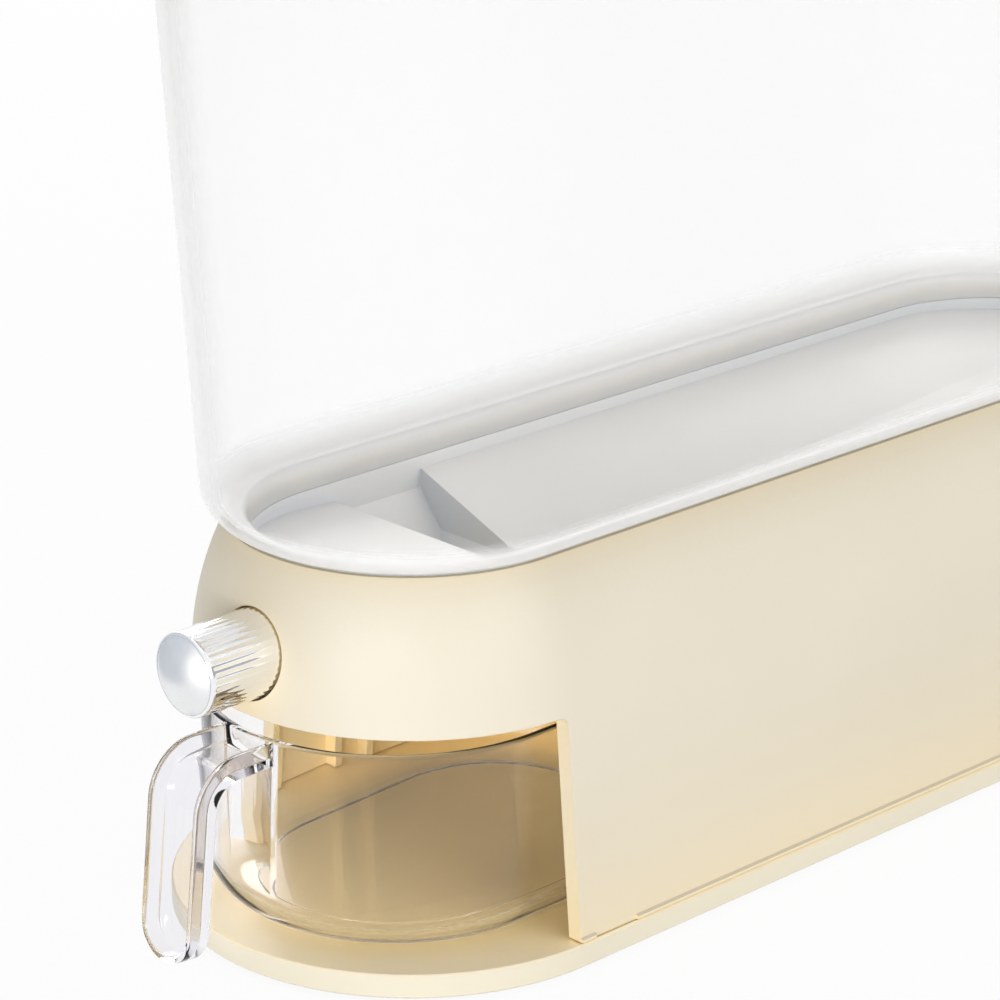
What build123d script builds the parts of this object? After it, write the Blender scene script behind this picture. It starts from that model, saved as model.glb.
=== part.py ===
from build123d import *
import math
import os

# Grain dispenser: a translucent tank on a base with a cup bay. A push button slides a gate under the
# tank's hopper, grain falls into a clear cup, and a flip lid closes the tank.
# Millimetres. X runs across, Y from the front (minus) to the back, Z up from the table. In this script
# Y starts at the centre of the front end arc, and the last lines move every piece to the middle.

# Racetrack plan: two end arcs joined by straight sides
straight_run = 280.0

# Foot plate and feet
foot_drop = 1.5
plate_radius = 75.0
plate_top = 9.2
plate_sheet = 2.5
plate_skirt = 2.5
plate_edge_cut = 0.6
plate_rib = 1.6
plate_rib_bottom = 2.6
plate_rib_pitch = 70.0
plate_long_ribs_x = [-30.0, 30.0]
pad_radius = 11.0
pad_bottom = 2.0
foot_radius = 8.5
foot_places = [(x, y) for y in (-38.0, 318.0) for x in (-45.0, 45.0)]
rim_height = 6.0
rim_inset = 3.0
rim_wall = 2.0
rim_start_y = 121.0
rim_slot = 7.0

# Base shell: straight draft up to the shoulder, then an arc in to the crown
shell_wall = 2.5
shell_foot = (74.15, 9.65)
shell_shoulder = (67.2, 89.5)
shell_crown = (56.5, 126.5)
bead_reach = 0.8
bead_height = 2.0
bead_gap = (4.5, 22.0)
flange_inner = 52.5
flange_outer = 56.5
flange_bottom = 122.7
flange_top = 125.2
rebate_radius = 55.0

# Cup bay
bay_edge_y = -1.3
bay_lip = 80.67
bay_corner = 3.0
bay_collar = 2.83
bay_collar_reach = 5.2
bay_ribs = [(24.0, 27.0), (38.0, 41.0)]
bay_rib_reach = 7.2
weld = 1.0

# Bay liner: ceiling and back wall, with a hook at each side that hangs on the collar of the bay
liner_inset = 3.1
liner_wall = 2.5
liner_back_y = 111.5
ceiling_inset = 5.7
ceiling_bottom = bay_lip
ceiling_top = ceiling_bottom + liner_wall
hook_bottom = bay_lip + bay_collar
hook_lip = 1.7
hook_top = hook_bottom + hook_lip
hook_wall = 2.0
hook_start_x = 25.0
liner_boss_x = 40.0

# Tank
tank_neck_radius = 49.7
tank_neck_wall = 1.8
tank_neck_bottom = 120.0
tank_bottom = 126.5
tank_foot_radius = 63.14
tank_draft = 0.0583
tank_top = 346.5
tank_wall = 2.4
tank_fillet = 12.0
tank_inner_cut = 5.6
tank_rim_cut = 0.6
lug_places = [30.0, 140.0, 250.0]
lug_length = 12.0
lug_reach = 53.6
lug_bottom = 120.9
lug_top = 122.5
seal_inner = 52.7
seal_outer = 54.9

# Hopper: half width of the trough sections, and their valley and edge heights along Y
hopper_wall = 2.2
hopper_top = 119.7
hopper_flange_outer = 56.0
hopper_flange = 2.2
trough_half = 52.0
trough_edge = 116.5
trough_stations = [(48.0, 96.5), (104.0, 100.0), (210.0, 106.5), (335.0, 114.8)]
shelf_front = (-54.0, 117.4)
shelf_rear = (12.0, 113.4)
spout_half = 36.0
spout_front = 27.0
spout_rear = 45.0
spout_bottom = 92.0
pocket_half = 53.5
pocket_top = 114.0
pocket_rear = 48.5
pocket_rear_z = 97.2
outlet_seal_wall = 1.8
outlet_seal_bottom = 91.85
outlet_seal_top = 94.2

# Push button, along Y at its own height
button_z = 98.5
button_radius = 12.9
button_back_radius = 13.4
button_front = -89.6
button_back = -58.0
button_ring = 1.8
button_ring_cut = 0.6
button_bore = 9.2
button_bore_front = -86.0
button_stroke = 17.0
flute_count = 40
flute_depth = 0.25
face_radius = 11.9
face_recess = 1.2
face_tip = -93.6
rod_boss_radius = 5.6
rod_boss_back = -76.0
button_hole = 13.8
rod_radius = 4.0
rod_clearance = 0.35
stub_radius = 2.9
stub_back = -5.0
nut_flats = 8.0
nut_length = 3.5
guide_inner = 13.75
guide_outer = 14.95
guide_back = -44.0
guide_ear_x = 19.0
guide_ear_y = -53.0
guide_ear_height = 6.0
guide_reach = 64.0
guide_slope = 0.165

# Return spring
spring_radius = 7.2
wire_radius = 0.7
spring_turns = 6
spring_gap = 0.3
wire_sides = 6
steps_per_turn = 14

# Rod bracket
bracket_front = -40.0
bracket_wall = 4.0
bracket_half = 11.0
bracket_base = 2.5
bracket_base_rear = -28.0
bracket_screw_x = 12.5
bracket_screw_y = -33.0
bracket_boss_height = 8.0

# Gate and its tray
gate_bottom = 89.4
gate_thick = 2.2
gate_half = 40.2
gate_front = 4.0
gate_rear = 50.0
window_half = 34.0
window_cover = 1.0
window_rear = spout_front - window_cover
window_front = window_rear - button_stroke + window_cover / 2
arm_front = -14.0
arm_thick = 4.0
arm_half = 11.0
arm_radius = 8.5
tray_floor = 2.5
tray_top = 89.1
tray_front = 0.0
tray_rear = 70.0
rail_inner = 40.7
rail_wall = 2.9
rail_top = 92.6
chute_wall = 2.0
chute_bottom = 79.8
chute_gap = 1.5
tray_screw_x = 48.3
tray_screws_y = [6.0, 64.0]
ear_radius = 4.5

# Cup
cup_start = -7.1
cup_run = 42.8
cup_foot_radius = 59.0
cup_rim_radius = 59.9
cup_bottom = 9.3
cup_rim = 74.2
cup_wall = 2.4
cup_foot_ring = 3.4
cup_foot_height = 1.0
cup_round = 13.0
cup_floor_fillet = cup_round - cup_wall
cup_rim_cut = 0.5

# Handle: a channel that leaves the rim level and hangs down, leaning outwards
handle_width = 22.8
handle_depth = 7.8
handle_flange = 2.1
handle_web = 2.3
handle_top = 73.9
handle_root_y = -57.0
handle_bend_y = -93.9
handle_tip = (-100.6, 10.8)
handle_bend = 16.9
handle_outside = 12.0

# Lid, rear cover and their hinge
cap_radius = 78.5
cap_gap = 0.55
cap_underside = 347.7
cap_plate = 2.6
cap_skirt_bottom = 336.5
cap_cut = 2.0
panel_radius = 66.0
panel_depth = 0.8
hinge_y = 150.0
hinge_gap = 0.6
hinge_lift = 1.6
knuckle_radius = 4.2
knuckle_half = 16.0
knuckle_outer = 34.0
knuckle_space = 0.6
pin_radius = 1.5
pin_clearance = 0.06
tab_half = 22.0
tab_reach = 8.0
tab_thick = 3.0
tab_bottom = 338.0
lid_seal_inner = 72.4
lid_seal_outer = 75.4
lid_seal_thick = 1.0
ledge_reach = 9.0
ledge_half = 71.5
ledge_thick = 2.5
ledge_top = 346.3

# Screws: head radius, head height, shank radius and clearance round the shank
screw_head = 2.6
screw_head_height = 1.8
screw_shank = 1.25
screw_clearance = 0.1
boss_radius = 4.5
plate_boss_top = 34.0
plate_screw_length = 20.0
plate_boss_x = 60.0
plate_screw_rows = [130.0, 285.0]
plate_screw_rear_y = 338.0
liner_screw_y = 124.0
hopper_screw_radius = 54.6
hopper_boss_radius = 2.6
hopper_screw_rows = [0.0, 280.0]
hopper_screw_length = 6.6
tray_screw_length = 11.0
small_screw_length = 8.0

front_reach = -handle_tip[0]
rear_reach = straight_run + cap_radius
middle_y = (rear_reach - front_reach) / 2
far = 200.0
far_back = 400.0


def polygon(*points):
    return make_face(Polyline(*points, close=True))


def round_corner(face, corner, radius):
    """Round the corner of a face that lies nearest to a point."""
    return fillet(face.vertices().sort_by_distance(corner)[0], radius)


def cut_corner(face, corner, length):
    """Chamfer the corner of a face that lies nearest to a point."""
    return chamfer(face.vertices().sort_by_distance(corner)[0], length)


def racetrack(section, run=straight_run, start=0.0):
    """Carry a section, drawn as radius and height, round the racetrack plan."""
    wall = Plane.XZ * section
    half = revolve(wall, Axis.Z, 180)
    side = extrude(wall, run, dir=(0, 1, 0))
    body = Pos(0, run, 0) * half + mirror(half, Plane.XZ) + side + mirror(side, Plane.YZ)
    return Pos(0, start, 0) * body


def across(profile, half_width):
    """Extrude a profile drawn as Y and Z across X, both ways."""
    return extrude(Plane.YZ * profile, half_width, both=True)


def along(profile, y_start, y_end):
    """Extrude a profile drawn as X and Z from one Y to another."""
    return Pos(0, y_start, 0) * extrude(Plane.XZ * profile, y_end - y_start, dir=(0, 1, 0))


def block(x_span, y_span, z_span):
    sizes = [high - low for low, high in (x_span, y_span, z_span)]
    middles = [(high + low) / 2 for low, high in (x_span, y_span, z_span)]
    return Pos(*middles) * Box(*sizes)


def post(radius, x, y, z_low, z_high):
    return Pos(x, y, z_low) * extrude(Circle(radius), z_high - z_low)


def bar(radius, y_start, y_end, z=button_z):
    """A round bar along Y on the button's axis."""
    return along(Pos(0, z) * Circle(radius), y_start, y_end)


def screw(x, y, z, length):
    """A hex-head screw, head down, with its head's bearing face at z."""
    head = Pos(x, y, z - screw_head_height) * extrude(RegularPolygon(screw_head, 6), screw_head_height)
    return head + post(screw_shank, x, y, z, z + length)


def screw_hole(x, y, z_low, z_high):
    return post(screw_shank + screw_clearance, x, y, z_low, z_high)


def shell_section(outer_inset, inner_inset):
    """The base shell's section between two insets: an arched shoulder outside, two flats inside."""
    lean = (shell_shoulder[0] - shell_foot[0], shell_shoulder[1] - shell_foot[1])
    arch = TangentArc(shell_shoulder, shell_crown, tangent=lean)
    middle = arch @ 0.5
    foot, bend, inner_middle, crown = [
        (r - inner_inset, z) for r, z in (shell_foot, shell_shoulder, (middle.X, middle.Y), shell_crown)
    ]
    outer_foot, outer_bend, outer_crown = [
        (r - outer_inset, z) for r, z in (shell_foot, shell_shoulder, shell_crown)
    ]
    return make_face([
        Line(outer_foot, outer_bend),
        TangentArc(outer_bend, outer_crown, tangent=lean),
        Polyline(outer_crown, crown, inner_middle, bend, foot, outer_foot),
    ])


def shell_inside(inset):
    """The room inside the base shell's straight part, up to an inset from its outer face."""
    foot, shoulder = [(r - inset, z) for r, z in (shell_foot, shell_shoulder)]
    return racetrack(polygon((0, shell_foot[1]), foot, shoulder, (0, shell_shoulder[1])))


def plate_screw_places():
    sides = [(x, y) for y in plate_screw_rows for x in (-plate_boss_x, plate_boss_x)]
    return sides + [(0.0, plate_screw_rear_y)]


def liner_screw_places():
    return [(x, liner_screw_y) for x in (-liner_boss_x, liner_boss_x)]


def hopper_screw_places():
    return [(x, y) for y in hopper_screw_rows for x in (-hopper_screw_radius, hopper_screw_radius)]


def tray_screw_places():
    return [(x, y) for y in tray_screws_y for x in (-tray_screw_x, tray_screw_x)]


def mechanism_screw_places():
    bracket = [(x, bracket_screw_y) for x in (-bracket_screw_x, bracket_screw_x)]
    return bracket + [(x, guide_ear_y) for x in (-guide_ear_x, guide_ear_x)]


def foot_plate():
    sheet_bottom = plate_top - plate_sheet
    skirt_inner = plate_radius - plate_skirt
    section = polygon(
        (0, sheet_bottom),
        (skirt_inner, sheet_bottom),
        (skirt_inner, foot_drop),
        (plate_radius, foot_drop),
        (plate_radius, plate_top),
        (0, plate_top),
    )
    for corner in ((plate_radius, foot_drop), (plate_radius, plate_top)):
        section = cut_corner(section, corner, plate_edge_cut)
    plate = racetrack(section)
    ribs = Part()
    count = int(straight_run / plate_rib_pitch) + 2
    for step in range(count):
        y = straight_run / 2 + (step - (count - 1) / 2) * plate_rib_pitch
        ribs += block((-far, far), (y - plate_rib / 2, y + plate_rib / 2), (plate_rib_bottom, sheet_bottom))
    for x in plate_long_ribs_x:
        rib_x = (x - plate_rib / 2, x + plate_rib / 2)
        ribs += block(rib_x, (-far, far_back), (plate_rib_bottom, sheet_bottom))
    rib_end = skirt_inner + weld
    plate += ribs & racetrack(polygon(
        (0, plate_rib_bottom), (rib_end, plate_rib_bottom), (rib_end, sheet_bottom), (0, sheet_bottom)
    ))
    for x, y in foot_places:
        plate += post(pad_radius, x, y, pad_bottom, sheet_bottom)
    rim_outer = shell_foot[0] - rim_inset
    rim_lean = (shell_foot[0] - shell_shoulder[0]) / (shell_shoulder[1] - shell_foot[1]) * rim_height
    rim = racetrack(polygon(
        (rim_outer - rim_wall, plate_top),
        (rim_outer, plate_top),
        (rim_outer - rim_lean, plate_top + rim_height),
        (rim_outer - rim_wall, plate_top + rim_height),
    ))
    plate += rim & block((-far, far), (rim_start_y, far_back), (plate_top, far))
    for x, y in plate_screw_places() + liner_screw_places():
        plate += post(boss_radius, x, y, plate_rib_bottom + screw_head_height, sheet_bottom)
    for x, y in plate_screw_places() + liner_screw_places():
        plate -= screw_hole(x, y, 0, plate_top)
    for y in plate_screw_rows:
        plate -= block((-far, far), (y - rim_slot, y + rim_slot), (plate_top, plate_top + rim_height))
    plate -= block((-rim_slot, rim_slot), (plate_screw_rear_y, far_back), (plate_top, plate_top + rim_height))
    return plate


def rubber_feet():
    return [post(foot_radius, x, y, 0, pad_bottom) for x, y in foot_places]


def base_shell():
    shell = racetrack(shell_section(0, shell_wall))
    shell += racetrack(polygon(
        (flange_inner, flange_bottom),
        (flange_outer, flange_bottom),
        (flange_outer, flange_top),
        (flange_inner, flange_top),
    ))
    foot_z = shell_foot[1]
    bead = racetrack(polygon(
        (shell_foot[0] - weld, foot_z),
        (shell_foot[0] + bead_reach, foot_z),
        (shell_foot[0] + bead_reach, foot_z + bead_height / 2),
        (shell_foot[0] - weld, foot_z + bead_height),
    ))
    shell += bead - block((-far, far), bead_gap, (0, far))
    shell -= racetrack(polygon(
        (flange_inner, flange_top), (rebate_radius, flange_top), (rebate_radius, far), (flange_inner, far)
    ))
    for x, y in hopper_screw_places():
        shell += post(hopper_boss_radius, x, y, hopper_top, flange_top)
    band = racetrack(shell_section(weld, bay_collar_reach))
    opening = round_corner(polygon(
        (-far, 0), (bay_edge_y, 0), (bay_edge_y, bay_lip), (-far, bay_lip)
    ), (bay_edge_y, bay_lip), bay_corner)
    collar = offset(opening, bay_collar, kind=Kind.ARC)
    shell += band & across(collar, far)
    shell -= across(opening, far)
    rib_band = racetrack(shell_section(weld, bay_rib_reach))
    for span in bay_ribs:
        shell += rib_band & block((-far, far), span, (0, bay_lip))
    web_band = racetrack(shell_section(weld, shell_foot[0] - plate_boss_x))
    for x, y in plate_screw_places():
        shell += post(boss_radius, x, y, plate_top, plate_boss_top)
    for y in plate_screw_rows:
        shell += web_band & block((-far, far), (y - weld, y + weld), (plate_top, plate_boss_top))
    shell += web_band & block((-weld, weld), (plate_screw_rear_y, far_back), (plate_top, plate_boss_top))
    for x, y in plate_screw_places():
        shell -= screw_hole(x, y, 0, plate_top + plate_screw_length)
    for x, y in hopper_screw_places():
        shell -= screw_hole(x, y, hopper_top, flange_top - weld / 2)
    shell -= bar(button_hole, -far, 0) & block((-far, far), (-far, bracket_front), (0, far))
    return shell


def bay_liner():
    room = shell_inside(liner_inset)
    ceiling_room = shell_inside(ceiling_inset)
    back_far = liner_back_y + liner_wall
    liner = ceiling_room & block((-far, far), (-far, back_far), (ceiling_bottom, ceiling_top))
    liner += room & block((-far, far), (liner_back_y, back_far), (plate_top, ceiling_top))
    hook = ceiling_room & block((-far, far), (-far, bay_edge_y), (ceiling_bottom, hook_top))
    hook += room & block((-far, far), (-far, bay_edge_y), (hook_bottom, hook_top))
    hook -= shell_inside(ceiling_inset + hook_wall)
    liner += hook - block((-hook_start_x, hook_start_x), (-far, far), (0, far))
    chute = spout_half + chute_wall + chute_gap
    liner -= block(
        (-chute, chute),
        (spout_front - chute_wall - chute_gap, spout_rear + chute_wall + chute_gap),
        (0, far),
    )
    for x, y in liner_screw_places():
        liner += post(boss_radius, x, y, plate_top, plate_boss_top)
        liner += block((x - weld, x + weld), (liner_back_y, y), (plate_top, plate_boss_top))
        liner -= screw_hole(x, y, 0, plate_top + plate_screw_length)
    for x, y in mechanism_screw_places():
        liner -= screw_hole(x, y, 0, far)
    return liner


def tank_radius(z):
    return tank_foot_radius + tank_draft * (z - tank_bottom)


def tank():
    floor = tank_bottom + tank_wall
    inner_foot = (tank_radius(floor) - tank_wall, floor)
    outer_foot = (tank_foot_radius, tank_bottom)
    section = polygon(
        (tank_neck_radius, tank_neck_bottom),
        (tank_neck_radius, floor),
        inner_foot,
        (tank_radius(tank_top) - tank_wall, tank_top),
        (tank_radius(tank_top), tank_top),
        outer_foot,
        (tank_neck_radius + tank_neck_wall, tank_bottom),
        (tank_neck_radius + tank_neck_wall, tank_neck_bottom),
    )
    section = round_corner(section, outer_foot, tank_fillet)
    section = cut_corner(section, inner_foot, tank_inner_cut)
    section = cut_corner(section, (tank_radius(tank_top), tank_top), tank_rim_cut)
    vessel = racetrack(section)
    for y in lug_places:
        half = lug_length / 2
        lug = block((-lug_reach, lug_reach), (y - half, y + half), (lug_bottom, lug_top))
        vessel += lug - block((-tank_neck_radius, tank_neck_radius), (-far, far_back), (0, far))
    return vessel


def tank_seal():
    return racetrack(polygon(
        (seal_inner, flange_top),
        (seal_outer, flange_top),
        (seal_outer, tank_bottom),
        (seal_inner, tank_bottom),
    ))


def trough(drop):
    """The grain space over the hopper's rear floor, or the same let down by a wall."""
    sections = []
    for y, valley in trough_stations:
        left = (-trough_half, trough_edge - drop)
        right = (trough_half, trough_edge - drop)
        face = polygon(left, (0, valley - drop), right, (trough_half, hopper_top), (-trough_half, hopper_top))
        sections.append(Pos(0, y, 0) * (Plane.XZ * face))
    return loft(sections, ruled=True)


def pocket(grow):
    """The slot over the outlet, with steep sides and a leaning front, or the same grown by a wall."""
    front_lean = polygon(
        (spout_front - grow, spout_bottom),
        (spout_rear + grow, spout_bottom),
        (pocket_rear + grow, pocket_rear_z - grow),
        (pocket_rear + grow, hopper_top),
        (shelf_rear[0] - grow, hopper_top),
        (shelf_rear[0] - grow, shelf_rear[1] - grow),
    )
    sides = polygon(
        (-spout_half - grow, spout_bottom),
        (spout_half + grow, spout_bottom),
        (pocket_half + grow, pocket_top),
        (pocket_half + grow, hopper_top),
        (-pocket_half - grow, hopper_top),
        (-pocket_half - grow, pocket_top),
    )
    return across(front_lean, far) & along(sides, -far, far)


def shelf(drop):
    """The grain space over the shelf in front of the outlet."""
    return across(polygon(
        (shelf_front[0], shelf_front[1] - drop),
        (shelf_rear[0] + weld, shelf_rear[1] - drop),
        (shelf_rear[0] + weld, hopper_top),
        (shelf_front[0], hopper_top),
    ), far)


def column(radius):
    """The upright racetrack column that the hopper's rim follows."""
    return racetrack(polygon(
        (0, spout_bottom), (radius, spout_bottom), (radius, hopper_top), (0, hopper_top)
    ))


def hopper():
    grain = (trough(0) + pocket(0) + shelf(0)) & column(tank_neck_radius)
    skin = trough(hopper_wall) + pocket(hopper_wall) + shelf(hopper_wall)
    skin &= column(tank_neck_radius + hopper_wall)
    body = skin + racetrack(polygon(
        (tank_neck_radius + weld, hopper_top - hopper_flange),
        (hopper_flange_outer, hopper_top - hopper_flange),
        (hopper_flange_outer, hopper_top),
        (tank_neck_radius + weld, hopper_top),
    ))
    for x, y in tray_screw_places():
        body += post(ear_radius, x, y, tray_top, hopper_top - hopper_flange)
    body -= grain
    for x, y in tray_screw_places():
        body -= screw_hole(x, y, tray_top, tray_top + tray_screw_length)
    for x, y in hopper_screw_places():
        body -= screw_hole(x, y, tray_top, hopper_top)
    return body


def outlet_seal():
    ring = []
    for grow in (hopper_wall + outlet_seal_wall, hopper_wall):
        x = spout_half + grow
        ring.append(block(
            (-x, x), (spout_front - grow, spout_rear + grow), (outlet_seal_bottom, outlet_seal_top)
        ))
    return ring[0] - ring[1] - pocket(hopper_wall) - trough(hopper_wall)


def gate_tray():
    low = tray_top - tray_floor
    outer = rail_inner + rail_wall
    tray = block((-outer, outer), (tray_front, tray_rear), (low, tray_top))
    for side in (-1, 1):
        rail = sorted((side * rail_inner, side * outer))
        tray += block(rail, (tray_front, tray_rear), (low, rail_top))
    tray += block((-outer, outer), (tray_rear - tray_floor / 2, tray_rear), (low, rail_top))
    x = spout_half + chute_wall
    tray += block((-x, x), (spout_front - chute_wall, spout_rear + chute_wall), (chute_bottom, low))
    for x, y in tray_screw_places():
        tray += post(ear_radius, x, y, low, tray_top)
        side = math.copysign(1, x)
        tray += block(sorted((side * rail_inner, x)), (y - ear_radius, y + ear_radius), (low, tray_top))
        tray -= screw_hole(x, y, low, tray_top)
    tray -= block((-spout_half, spout_half), (spout_front, spout_rear), (0, tray_top))
    return tray


def gate_plate():
    top = gate_bottom + gate_thick
    plate = block((-gate_half, gate_half), (gate_front, gate_rear), (gate_bottom, top))
    plate -= block((-window_half, window_half), (window_front, window_rear), (0, far))
    plate += block((-arm_half, arm_half), (arm_front, gate_front), (gate_bottom, top))
    arm = block((-arm_radius, arm_radius), (arm_front, arm_front + arm_thick), (gate_bottom, button_z))
    arm += bar(arm_radius, arm_front, arm_front + arm_thick)
    brace = across(polygon(
        (arm_front + arm_thick, top), (gate_front, top), (arm_front + arm_thick, button_z)
    ), weld)
    sides = Pos(arm_radius - weld, 0, 0) * brace + Pos(weld - arm_radius, 0, 0) * brace
    return plate + arm + sides - bar(stub_radius + screw_clearance, arm_front, arm_front + arm_thick)


def push_rod():
    return bar(rod_radius, button_bore_front, arm_front) + bar(stub_radius, arm_front, stub_back)


def rod_nut():
    start = arm_front + arm_thick
    hexagon = Pos(0, button_z) * RegularPolygon(nut_flats / 2, 6, major_radius=False)
    bore = bar(stub_radius + screw_clearance / 2, start, start + nut_length)
    return along(hexagon, start, start + nut_length) - bore


def fluted_outline(radius, y):
    star = []
    for step in range(2 * flute_count):
        reach = radius - flute_depth * (step % 2)
        angle = math.pi * step / flute_count
        star.append((reach * math.cos(angle), button_z + reach * math.sin(angle)))
    return Pos(0, y, 0) * (Plane.XZ * polygon(*star))


def button_cap():
    ring_back = button_front + button_ring
    barrel = loft([
        fluted_outline(button_radius, ring_back), fluted_outline(button_back_radius, button_back)
    ], ruled=True)
    ring = bar(button_radius, button_front, ring_back)
    ring = chamfer(ring.edges().sort_by(Axis.Y)[0], button_ring_cut)
    cap = ring + barrel - bar(button_bore, button_bore_front, button_back)
    cap += bar(rod_boss_radius, button_bore_front, rod_boss_back)
    cap -= bar(rod_radius + screw_clearance / 2, button_bore_front, rod_boss_back)
    return cap - bar(face_radius, button_front, button_front + face_recess)


def button_face():
    back = button_front + face_recess
    profile = make_face([
        Line((0, back), (face_radius, back)),
        Line((face_radius, back), (face_radius, button_front)),
        TangentArc((0, face_tip), (face_radius, button_front), tangent=(1, 0)),
        Line((0, face_tip), (0, back)),
    ])
    return Pos(0, 0, button_z) * revolve(profile, Axis.Y)


def button_guide():
    sleeve = bar(guide_outer, -far, guide_back)
    low = guide_ear_y - ear_radius
    high = guide_ear_y + ear_radius
    sleeve += block((-arm_half, arm_half), (low, guide_back), (ceiling_top, button_z))
    for side in (-1, 1):
        x = side * guide_ear_x
        top = ceiling_top + guide_ear_height
        sleeve += post(ear_radius, x, guide_ear_y, ceiling_top, top)
        sleeve += block(sorted((side * weld, x)), (low, high), (ceiling_top, top))
        sleeve -= screw_hole(x, guide_ear_y, 0, top)
    sleeve -= bar(guide_inner, -far, guide_back)
    height = button_z + guide_outer - ceiling_top
    room = Cone(guide_reach, guide_reach - guide_slope * height, height)
    return sleeve & Pos(0, 0, ceiling_top + height / 2) * room


def rod_bracket():
    rear = bracket_front + bracket_wall
    base_top = ceiling_top + bracket_base
    bracket = block((-bracket_half, bracket_half), (bracket_front, rear), (ceiling_top, button_z))
    bracket += bar(bracket_half, bracket_front, rear)
    wide = bracket_screw_x + ear_radius
    bracket += block((-wide, wide), (bracket_front, bracket_base_rear), (ceiling_top, base_top))
    gusset = across(polygon(
        (rear, base_top), (bracket_base_rear, base_top), (rear, button_z - rod_radius)
    ), weld)
    for side in (-1, 1):
        bracket += Pos(side * (rod_radius + 2 * weld), 0, 0) * gusset
        x = side * bracket_screw_x
        top = ceiling_top + bracket_boss_height
        bracket += post(ear_radius - weld, x, bracket_screw_y, ceiling_top, top)
        bracket -= screw_hole(x, bracket_screw_y, 0, top)
    return bracket - bar(rod_radius + rod_clearance, bracket_front, rear)


def spring_point(turn):
    """The middle of the spring's wire after so many turns."""
    start = button_bore_front + spring_gap + wire_radius
    end = bracket_front - spring_gap - wire_radius
    angle = 2 * math.pi * turn
    return Vector(
        spring_radius * math.cos(angle),
        start + (end - start) * turn / spring_turns,
        button_z + spring_radius * math.sin(angle),
    )


def return_spring():
    count = spring_turns * steps_per_turn
    points = [spring_point(step / steps_per_turn) for step in range(count + 1)]
    half_turn = steps_per_turn // 2
    gaps = [
        (other - point).length for place, point in enumerate(points) for other in points[place + half_turn:]
    ]
    print("spring: least gap between its turns", round(min(gaps) - 2 * wire_radius, 2), "mm")
    sections = []
    for point in points:
        outward = Vector(point.X, 0, point.Z - button_z)
        around = Vector(-outward.Z, 0, outward.X)
        frame = Plane(origin=point, x_dir=outward, z_dir=around)
        sections.append(frame * RegularPolygon(wire_radius, wire_sides))
    return loft(sections, ruled=True)


def cup_radius(z):
    return cup_foot_radius + (cup_rim_radius - cup_foot_radius) * (z - cup_bottom) / (cup_rim - cup_bottom)


def cup_floor():
    return cup_bottom + cup_foot_height + cup_wall


def cup_inside():
    """The space that the cup's wall and floor enclose."""
    corner = (cup_radius(cup_floor()) - cup_wall, cup_floor())
    section = polygon((0, cup_floor()), corner, (cup_rim_radius - cup_wall, cup_rim), (0, cup_rim))
    return racetrack(round_corner(section, corner, cup_floor_fillet), cup_run, cup_start)


def handle_line(depth):
    """Side view of the handle at a depth behind its front edge: root, bend and tip."""
    lean = math.atan2(handle_bend_y - handle_tip[0], handle_top - handle_tip[1])
    bend_y = handle_bend_y + depth * (1 / math.cos(lean) - math.tan(lean))
    z = handle_top - depth
    return [(handle_root_y, z), (bend_y, z), (handle_tip[0] + depth / math.cos(lean), handle_tip[1])]


def tongue(width):
    """Front view of the handle: straight sides and a round lower end."""
    centre = handle_tip[1] + handle_width / 2
    return Pos(0, centre) * Circle(width / 2) + polygon(
        (-width / 2, centre), (width / 2, centre), (width / 2, handle_top + handle_outside),
        (-width / 2, handle_top + handle_outside),
    )


def handle():
    front = handle_line(0)
    back = handle_line(handle_depth)
    bar_side = polygon(*front, *reversed(back))
    bar_side = round_corner(bar_side, front[1], handle_bend)
    bar_side = round_corner(bar_side, back[1], handle_bend - handle_depth)
    recess_depth = handle_depth - handle_web
    floor = handle_line(recess_depth)
    outer_y = handle_tip[0] - handle_outside
    outer_z = handle_top + handle_outside
    recess_side = polygon(*floor, (outer_y, handle_tip[1]), (outer_y, outer_z), (handle_root_y, outer_z))
    recess_side = round_corner(recess_side, floor[1], handle_bend - recess_depth)
    inner_width = handle_width - 2 * handle_flange
    body = across(bar_side, handle_width / 2) & along(tongue(handle_width), -far, 0)
    return body - (across(recess_side, inner_width / 2) & along(tongue(inner_width), -far, 0))


def measuring_cup():
    foot_inner = cup_foot_radius - cup_round - cup_foot_ring
    section = polygon(
        (0, cup_bottom + cup_foot_height),
        (foot_inner, cup_bottom + cup_foot_height),
        (foot_inner, cup_bottom),
        (cup_foot_radius, cup_bottom),
        (cup_rim_radius, cup_rim),
        (0, cup_rim),
    )
    section = round_corner(section, (cup_foot_radius, cup_bottom), cup_round)
    section = cut_corner(section, (cup_rim_radius, cup_rim), cup_rim_cut)
    return racetrack(section, cup_run, cup_start) + handle() - cup_inside()


def cap():
    """The whole top of the tank, before it is parted at the hinge."""
    top = cap_underside + cap_plate
    skirt_inner = tank_radius(tank_top) + cap_gap
    section = polygon(
        (0, cap_underside),
        (skirt_inner, cap_underside),
        (skirt_inner, cap_skirt_bottom),
        (cap_radius, cap_skirt_bottom),
        (cap_radius, top),
        (panel_radius, top),
        (panel_radius - panel_depth, top - panel_depth),
        (0, top - panel_depth),
    )
    return racetrack(cut_corner(section, (cap_radius, top), cap_cut))


def hinge_z():
    return cap_underside + cap_plate + hinge_lift


def knuckle(x_span, radius):
    """A round barrel on the hinge axis between two X places."""
    barrel = Plane.YZ * (Pos(hinge_y, hinge_z()) * Circle(radius))
    return Pos(x_span[0], 0, 0) * extrude(barrel, x_span[1] - x_span[0])


def knuckle_spans():
    inner = knuckle_half + knuckle_space
    return {
        "lid": [(-knuckle_half, knuckle_half)],
        "cover": [(-knuckle_outer, -inner), (inner, knuckle_outer)],
    }


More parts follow.
